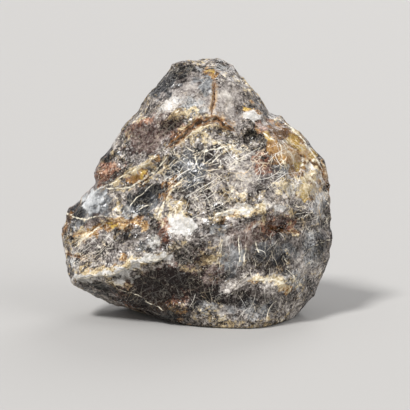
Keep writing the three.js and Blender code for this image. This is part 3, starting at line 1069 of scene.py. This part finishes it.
def makeResin():
    print("copal: resin")
    material = bpy.data.materials.new("weathered copal resin")
    material.use_nodes = True
    tree = material.node_tree
    shader = tree.nodes["Principled BSDF"]
    toneOf = resin["tone"]
    dustOf = resin["dust"]
    bumpOf = resin["bumps"]
    place = addNode(tree, "NewGeometry").outputs["Position"]
    perMm = addNode(tree, "VectorMath", [place, (1000, 1000, 1000)], operation="MULTIPLY")

    # Tone is how pale the resin is before any finish: clouds from 10 mm down to 1 mm, and a finer noise
    cloud = addNode(tree, "TexNoise", {"Vector": perMm, "Scale": resin["clouds"], "Detail": 7.0,
                                       "Roughness": 0.65})
    fine = addNode(tree, "TexNoise", {"Vector": perMm, "Scale": resin["fine"], "Detail": 2.0,
                                      "Roughness": 0.7})
    tone = addNode(tree, "Math", [fine, toneOf["fine"], toneOf["fineMiddle"]], operation="MULTIPLY_ADD")
    # Height is the relief that is finer than the mesh
    height = addNode(tree, "Math", [cloud, bumpOf["clouds"]], operation="MULTIPLY")
    height = addNode(tree, "Math", [fine, bumpOf["fine"], height], operation="MULTIPLY_ADD")

    # Scoops: glassy resin breaks in shallow shells, each with its own shade, that meet in sharp crests; a
    # pale line along the crests is a painted glint, as of light catching those edges
    warp = addNode(tree, "TexNoise", {"Vector": perMm, "Scale": resin["warp"], "Detail": 2.0})
    warp = warp.outputs["Color"]
    crestGlints = None
    for scoop in resin["scoops"]:
        size = scoop["size"]
        crest = scoop["crest"] / size
        bent = addNode(tree, "VectorMath", [warp, (size, size, size), perMm], operation="MULTIPLY_ADD")
        shell = addNode(tree, "TexVoronoi", {"Vector": bent, "Scale": 1 / size})
        deep = addNode(tree, "Math", [shell.outputs["Distance"], 2.0], operation="POWER")
        height = addNode(tree, "Math", [deep, scoop["hollow"], height], operation="MULTIPLY_ADD")
        shade = addNode(tree, "SeparateColor", [shell.outputs["Color"]]).outputs["Red"]
        tone = addNode(tree, "Math", [shade, scoop["shade"], tone], operation="MULTIPLY_ADD")
        rim = addNode(tree, "TexVoronoi", {"Vector": bent, "Scale": 1 / size}, feature="DISTANCE_TO_EDGE")
        line = addNode(tree, "MapRange", [rim, crest, crest * 0.3])
        shown = addNode(tree, "TexNoise", {"Vector": perMm, "Scale": 1.1 / size, "Detail": 2.0})
        start = 0.58 - scoop["shown"] * 0.2   # where the noise is above this
        shown = addNode(tree, "MapRange", [shown, start, start + 0.08])
        line = addNode(tree, "Math", [line, shown], operation="MULTIPLY")
        crestGlints = line if crestGlints is None else addNode(tree, "Math", [crestGlints, line], operation="MAXIMUM")

    # Grain: the skin is a crust of grains about a millimetre across, each with its own shade. Pick breaks
    # up the edges of the finishes from grain to grain.
    pick = None
    for size, weight, share in resin["grains"]:
        jitter = addNode(tree, "TexNoise", {"Vector": perMm, "Scale": 1.2 / size, "Detail": 1.0})
        jitter = jitter.outputs["Color"]
        loose = addNode(tree, "VectorMath", [jitter, (size, size, size), perMm], operation="MULTIPLY_ADD")
        grain = addNode(tree, "TexVoronoi", {"Vector": loose, "Scale": 1 / size})
        grain = addNode(tree, "SeparateColor", [grain.outputs["Color"]])
        tone = addNode(tree, "Math", [grain.outputs["Red"], weight, tone], operation="MULTIPLY_ADD")
        part = addNode(tree, "Math", [grain.outputs["Green"], share], operation="MULTIPLY")
        pick = part if pick is None else addNode(tree, "Math", [pick, part], operation="ADD")

    # Specks no bigger than the grains: dark pits, and pale specks that are painted glints, as of light off
    # tiny chips
    specks = {}
    for name, (spacing, radius) in resin["specks"].items():
        shaken = fine.outputs["Color"]
        bent = addNode(tree, "VectorMath", [shaken, (1.6, 1.6, 1.6), perMm], operation="MULTIPLY_ADD")
        dots = addNode(tree, "TexVoronoi", {"Vector": bent, "Scale": 1 / spacing})
        chance = addNode(tree, "SeparateColor", [dots.outputs["Color"]])
        least = radius * 0.5 / spacing
        most = radius * 1.4 / spacing
        reach = addNode(tree, "MapRange", [chance.outputs["Green"], 0.0, 1.0, least, most])
        dot = addNode(tree, "Math", [dots.outputs["Distance"], reach], operation="DIVIDE")
        dot = addNode(tree, "MapRange", [dot, 1.2, 0.6])
        specks[name] = addNode(tree, "Math", [dot, chance.outputs["Blue"]], operation="MULTIPLY")
    tone = addNode(tree, "Math", [specks["pits"], toneOf["pits"], tone], operation="MULTIPLY_ADD")

    # Where the resin is clean and glassy all of this is faint, and so is the fine relief
    smooth = addNode(tree, "Attribute", attribute_name="smooth").outputs["Fac"]
    worn = addNode(tree, "MapRange", [smooth, 0.1, 1.1, 1.0, toneOf["grainOnClean"]])
    tone = addNode(tree, "Math", [tone, worn], operation="MULTIPLY")
    cloudy = addNode(tree, "MapRange", [smooth, 0.1, 1.1, toneOf["clouds"], toneOf["cloudsOnClean"]])
    mist = addNode(tree, "Math", [cloud, 0.5], operation="SUBTRACT")
    tone = addNode(tree, "Math", [mist, cloudy, tone], operation="MULTIPLY_ADD")
    tone = addNode(tree, "Math", [tone, toneOf["middle"]], operation="ADD")
    height = addNode(tree, "Math", [height, worn], operation="MULTIPLY")
    height = addNode(tree, "Math", [specks["pits"], bumpOf["pits"], height], operation="MULTIPLY_ADD")
    # the dark and pale layers carry painted shade and painted light as well as the resin's own tone
    darkAndShade = addNode(tree, "Attribute", attribute_name="darkAndShade").outputs["Fac"]
    for layer in ("facet", "paleAndLit"):
        amount = addNode(tree, "Attribute", attribute_name=layer).outputs["Fac"]
        tone = addNode(tree, "Math", [amount, toneOf[layer], tone], operation="MULTIPLY_ADD")
    tone = addNode(tree, "Math", [darkAndShade, toneOf["darkAndShade"], tone], operation="MULTIPLY_ADD")
    colour = addNode(tree, "ValToRGB", [tone], stops=resin["body"])

    # What gathers cream dust: drifts, worn edges and flake borders, and the margins of the seams
    drifts = addNode(tree, "TexNoise", {"Vector": perMm, "Scale": resin["drifts"], "Detail": 5.0,
                                        "Roughness": 0.65})
    border = addNode(tree, "Attribute", attribute_name="border").outputs["Fac"]
    edge = addNode(tree, "MapRange", [border, 1.6, 0.1, 0.0, dustOf["borders"]])
    dust = addNode(tree, "Math", [drifts, dustOf["drifts"], dustOf["least"]], operation="MULTIPLY_ADD")
    dust = addNode(tree, "Math", [dust, edge], operation="ADD")
    dust = addNode(tree, "Math", [darkAndShade, dustOf["darkAndShade"], dust], operation="MULTIPLY_ADD")
    dust = addNode(tree, "Math", [smooth, dustOf["smooth"], dust], operation="MULTIPLY_ADD")
    for layer in ("ridge", "creamGlow", "cream"):
        amount = addNode(tree, "Attribute", attribute_name=layer).outputs["Fac"]
        dust = addNode(tree, "Math", [amount, dustOf[layer], dust], operation="MULTIPLY_ADD")

    # Finishes laid over the body, each with an edge made ragged by noise and broken up into grains
    masks = {}
    for name, finish in resin["finishes"].items():
        start, full = finish["mask"]
        if name == "cream":
            level = dust
        else:
            level = addNode(tree, "Attribute", attribute_name=name).outputs["Fac"]
        if name in resin["besideCracks"]:
            glow = addNode(tree, "Attribute", attribute_name="rustGlow").outputs["Fac"]
            taken = resin["besideCracks"][name]
            level = addNode(tree, "Math", [glow, taken, level], operation="MULTIPLY_ADD")
        if name == "rust":
            level = addNode(tree, "Math", [dust, resin["dustInRust"], level], operation="MULTIPLY_ADD")
        ragged = addNode(tree, "TexNoise", {"Vector": perMm, "Scale": 1 / finish["edge"], "Detail": 4.0,
                                            "Roughness": 0.7})
        level = addNode(tree, "Math", [ragged, resin["raggedness"], level], operation="MULTIPLY_ADD")
        level = addNode(tree, "Math", [pick, -finish["grainy"], level], operation="MULTIPLY_ADD")
        centred = (resin["raggedness"] - finish["grainy"]) / 2   # so that both leave the level as it was
        level = addNode(tree, "Math", [level, centred], operation="SUBTRACT")
        mask = addNode(tree, "MapRange", [level, start, full], interpolation_type="SMOOTHSTEP")
        masks[name] = mask
        ramp = addNode(tree, "ValToRGB", [tone], stops=finish["shades"])
        colour = addNode(tree, "Mix", {"Factor": mask, "A": colour, "B": ramp}, data_type="RGBA")
    powder = addNode(tree, "Math", [masks["chalk"], masks["cream"]], operation="MAXIMUM")

    # Seams: the listed lines, thin where they fade
    for name, seam in resin["seams"].items():
        side = addNode(tree, "Attribute", attribute_name=name + "Side").outputs["Fac"]
        side = addNode(tree, "Math", [side], operation="ABSOLUTE")
        line = addNode(tree, "Math", [pick, 0.5, side], operation="MULTIPLY_ADD")
        across = addNode(tree, "Math", [line, 0.5], operation="MULTIPLY")
        shade = addNode(tree, "ValToRGB", [across], stops=seam["shades"])
        line = addNode(tree, "MapRange", [line, 1.5, 0.9], interpolation_type="SMOOTHSTEP")
        near = addNode(tree, "Attribute", attribute_name=name + "Near").outputs["Fac"]
        near = addNode(tree, "Math", [near, 2.5], operation="LESS_THAN")
        line = addNode(tree, "Math", [line, near], operation="MULTIPLY")
        broken = addNode(tree, "TexNoise", {"Vector": perMm, "Scale": resin["fading"], "Detail": 4.0,
                                            "Roughness": 0.7})
        broken = addNode(tree, "MapRange", [broken, 0.4, 0.56, seam["least"], 1.0])
        line = addNode(tree, "Math", [line, broken], operation="MULTIPLY")
        colour = addNode(tree, "Mix", {"Factor": line, "A": colour, "B": shade}, data_type="RGBA")

    # Scratches: in each cell of a loose lattice, one bent plane cuts the skin as a tapering hairline.
    # Real ones are under 0.1 mm wide, and are drawn about twice as wide so that they show.
    strayed = addNode(tree, "TexNoise", {"Vector": perMm, "Scale": resin["stray"], "Detail": 0.0})
    strayed = strayed.outputs["Color"]
    bend = resin["bend"]
    bent = addNode(tree, "VectorMath", [strayed, (bend, bend, bend), perMm], operation="MULTIPLY_ADD")
    drift = addNode(tree, "TexNoise", {"Vector": perMm, "Scale": resin["wear"], "Detail": 5.0,
                                       "Roughness": 0.7})
    number = 0
    scratched = None
    for layer, kinds in resin["scratches"].items():
        # the first layer also carries the painted glints on the scoop crests, in the hairline colour
        drawn = crestGlints if scratched is None else None
        for spacing, wide, share, combed in kinds:
            apart = (17.0 * number, 5.0 * number, 29.0 * number)   # no two kinds share a lattice
            moved = addNode(tree, "VectorMath", [bent, apart], operation="ADD")
            number += 1
            cells = addNode(tree, "TexVoronoi", {"Vector": moved, "Scale": 1 / spacing})
            offset = addNode(tree, "VectorMath", [moved, cells.outputs["Position"]], operation="SUBTRACT")
            ownColour = cells.outputs["Color"]
            stray = addNode(tree, "VectorMath", [ownColour, (0.5, 0.5, 0.5)], operation="SUBTRACT")
            if combed is not None:
                run = math.radians(combed)
                across = (-2 * math.sin(run), 0.4, 2 * math.cos(run))
                stray = addNode(tree, "VectorMath", [stray, across], operation="ADD")
            lean = addNode(tree, "VectorMath", [stray], operation="NORMALIZE")
            gap = addNode(tree, "VectorMath", [offset, lean], operation="DOT_PRODUCT").outputs["Value"]
            chance = addNode(tree, "SeparateColor", [ownColour])
            curl = resin["curl"] * spacing
            curve = addNode(tree, "MapRange", [chance.outputs["Green"], 0.0, 1.0, -curl, curl])
            reach = addNode(tree, "Math", [cells.outputs["Distance"], 2.0], operation="POWER")
            gap = addNode(tree, "Math", [reach, curve, gap], operation="MULTIPLY_ADD")
            gap = addNode(tree, "Math", [gap], operation="ABSOLUTE")
            taper = addNode(tree, "MapRange", [cells.outputs["Distance"], 0.15, 0.75, wide, wide * 0.25])
            line = addNode(tree, "Math", [gap, taper], operation="DIVIDE")
            line = addNode(tree, "MapRange", [line, 1.0, 0.35])
            chosen = addNode(tree, "MapRange", [chance.outputs["Blue"], 1 - share, 1.0])
            chosen = addNode(tree, "Math", [chosen, 0.5], operation="POWER")
            line = addNode(tree, "Math", [line, chosen], operation="MULTIPLY")
            drawn = line if drawn is None else addNode(tree, "Math", [drawn, line], operation="MAXIMUM")
        amount = addNode(tree, "Attribute", attribute_name=layer).outputs["Fac"]
        amount = addNode(tree, "Math", [drift, 0.8, amount], operation="MULTIPLY_ADD")
        amount = addNode(tree, "MapRange", [amount, 0.35, 1.15, 0.1, 1.0])
        drawn = addNode(tree, "Math", [drawn, amount], operation="MULTIPLY")
        if scratched is None:
            scratched = drawn
        else:
            scratched = addNode(tree, "Math", [scratched, drawn], operation="MAXIMUM")
    # painted glints: pale specks as of light off tiny chips, clumped by grain and faint where clean
    clumps = addNode(tree, "MapRange", [pick, 0.3, 0.7, 0.35, 1.0])
    clumps = addNode(tree, "Math", [clumps, worn], operation="MULTIPLY")
    glinted = addNode(tree, "Math", [specks["glints"], clumps], operation="MULTIPLY")
    darkAndShade = addNode(tree, "Attribute", attribute_name="darkAndShade").outputs["Fac"]
    spared = addNode(tree, "MapRange", [darkAndShade, 0.1, 1.0, 1.0, resin["glintsInDark"]])
    glinted = addNode(tree, "Math", [glinted, spared], operation="MULTIPLY")
    scratched = addNode(tree, "Math", [scratched, glinted], operation="MAXIMUM")
    hairline = addNode(tree, "ValToRGB", [drift], stops=resin["hairline"])
    colour = addNode(tree, "Mix", {"Factor": scratched, "A": colour, "B": hairline}, data_type="RGBA")
    powder = addNode(tree, "Math", [powder, scratched], operation="MAXIMUM")

    # Windows: where the skin is clean the resin is see-through, and light comes out of it honey-coloured
    window = addNode(tree, "Attribute", attribute_name="window").outputs["Fac"]
    clear = addNode(tree, "MapRange", [window, 0.25, 0.75, 0.0, resin["clear"]],
                    interpolation_type="SMOOTHSTEP")
    bare = addNode(tree, "Math", [1.0, powder], operation="SUBTRACT")
    clear = addNode(tree, "Math", [clear, bare], operation="MULTIPLY")
    tree.links.new(clear.outputs[0], shader.inputs["Transmission Weight"])
    tree.links.new(next(s for s in colour.outputs if s.enabled), shader.inputs["Base Color"])
    honey = toLinear(resin["honey"])
    depth = addNode(tree, "VolumeAbsorption", {"Color": honey, "Density": resin["density"]})
    tree.links.new(depth.outputs[0], tree.nodes["Material Output"].inputs["Volume"])

    # Gloss: clean glass in the dark breaks, duller where scuffed, dull where powdered
    gloss = addNode(tree, "MapRange", [tone, 0.1, 0.7, resin["glassy"], resin["scuffed"]])
    gloss = addNode(tree, "Mix", {"Factor": powder, "A": gloss, "B": resin["chalky"]})
    gloss = addNode(tree, "Mix", {"Factor": clear, "A": gloss, "B": resin["clean"]})
    tree.links.new(gloss.outputs[0], shader.inputs["Roughness"])
    shader.inputs["IOR"].default_value = resin["ior"]
    shader.inputs["Specular IOR Level"].default_value = resin["specular"]
    shader.inputs["Coat Weight"].default_value = resin["polish"]
    shader.inputs["Coat Roughness"].default_value = resin["polishRoughness"]
    shader.inputs["Coat IOR"].default_value = resin["ior"]

    height = addNode(tree, "Math", [masks["rust"], bumpOf["rust"], height], operation="MULTIPLY_ADD")
    bump = addNode(tree, "Bump", {"Height": height, "Strength": 1.0, "Distance": 0.001})
    tree.links.new(bump.outputs[0], shader.inputs["Normal"])
    return material


mesh.materials.append(makeResin())
chunk = bpy.data.objects.new("copal", mesh)
bpy.context.scene.collection.objects.link(chunk)
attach(chunk, "root")
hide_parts("copal_chunk")

# Healed cracks sealed in the resin behind the windows: thin cupped flakes that catch the light
flakes = {
    "count": 320,
    "radius": (0.9, 3.4),     # mm
    "depth": (0.45, 4.0),      # mm under the skin
    "thick": 0.12,
    "cup": 0.22,              # how hollow a flake is, as a share of its radius
    "rim": 14,                # points round a flake
    "sealed": 0.35,           # mm that they stay under the skin at least
    "roughness": 0.3,
    "colours": [(0.35, "#a8651f"), (0.5, "#e6ac4a"), (0.62, "#fbe6b0")],
}


def makeFlakes(skin):
    rand = random.Random(11)
    faces = [tuple(face.vertices) for face in skin.mesh.polygons]
    tree = BVHTree.FromPolygons([Vector(p) for p in skin.points], faces)
    behind = np.flatnonzero(skin.window > 0.6)
    verts, faces = [], []
    for _ in range(flakes["count"]):
        index = behind[rand.randrange(len(behind))]
        normal = Vector(skin.normals[index])
        centre = Vector(skin.points[index]) - normal * rand.uniform(*flakes["depth"])
        radius = rand.uniform(*flakes["radius"])
        lean = Vector([rand.gauss(0, 1) for _ in range(3)]).normalized()
        facing = (normal + lean * rand.uniform(0.1, 0.9)).normalized()
        across = facing.orthogonal().normalized()
        beside = facing.cross(across)
        stretch = rand.uniform(0.45, 1.0)
        ragged = [rand.uniform(0.75, 1.0) for _ in range(flakes["rim"])]
        first = len(verts)
        rings = [(1.0, 0.0), (0.66, 1.0), (0.33, 1.0), (0.66, -1.0), (0.33, -1.0)]
        for share, side in rings:
            for step in range(flakes["rim"]):
                angle = 2 * math.pi * step / flakes["rim"]
                reach = radius * share * ragged[step]
                edgeward = share * share
                lift = flakes["cup"] * radius * edgeward + side * flakes["thick"] / 2 * (1 - edgeward)
                verts.append(centre + across * (math.cos(angle) * reach)
                             + beside * (math.sin(angle) * reach * stretch) + facing * lift)
        tops = [centre + facing * side * flakes["thick"] / 2 for side in (1, -1)]
        verts += tops
        count = flakes["rim"]
        for step in range(count):
            after = (step + 1) % count
            for outer, inner, flip in ((0, 1, False), (1, 2, False), (0, 3, True), (3, 4, True)):
                quad = [first + outer * count + step, first + outer * count + after,
                        first + inner * count + after, first + inner * count + step]
                faces.append(quad[::-1] if flip else quad)
            faces.append([first + 2 * count + step, first + 2 * count + after, first + 5 * count])
            faces.append([first + 4 * count + after, first + 4 * count + step, first + 5 * count + 1])
    for number, point in enumerate(verts):
        nearest, normal, _, _ = tree.find_nearest(point)
        if (point - nearest).dot(normal) > -flakes["sealed"]:
            verts[number] = nearest - normal * flakes["sealed"]
    mesh = bpy.data.meshes.new("healed_cracks")
    mesh.from_pydata([v * mm for v in verts], [], faces)
    edit = bmesh.new()
    edit.from_mesh(mesh)
    bmesh.ops.dissolve_degenerate(edit, dist=0.001 * mm, edges=edit.edges)   # corners pushed together
    edit.to_mesh(mesh)
    edit.free()
    print("flakes:", flakes["count"], "behind the windows")
    return mesh


def makeHealedResin():
    # Resin that ran into a crack and set there: pearly, between cream and brown, with a satin face
    material = bpy.data.materials.new("healed crack in copal")
    material.use_nodes = True
    tree = material.node_tree
    shader = tree.nodes["Principled BSDF"]
    place = addNode(tree, "NewGeometry").outputs["Position"]
    cloud = addNode(tree, "TexNoise", {"Vector": place, "Scale": 450.0, "Detail": 4.0})   # mottling of 2 mm
    ramp = addNode(tree, "ValToRGB", [cloud], stops=flakes["colours"])
    tree.links.new(ramp.outputs["Color"], shader.inputs["Base Color"])
    shader.inputs["Roughness"].default_value = flakes["roughness"]
    shader.inputs["IOR"].default_value = resin["ior"]
    return material


flakeMesh = makeFlakes(skin)
flakeMesh.materials.append(makeHealedResin())
healed = bpy.data.objects.new("healed_cracks", flakeMesh)
bpy.context.scene.collection.objects.link(healed)
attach(healed, "root")
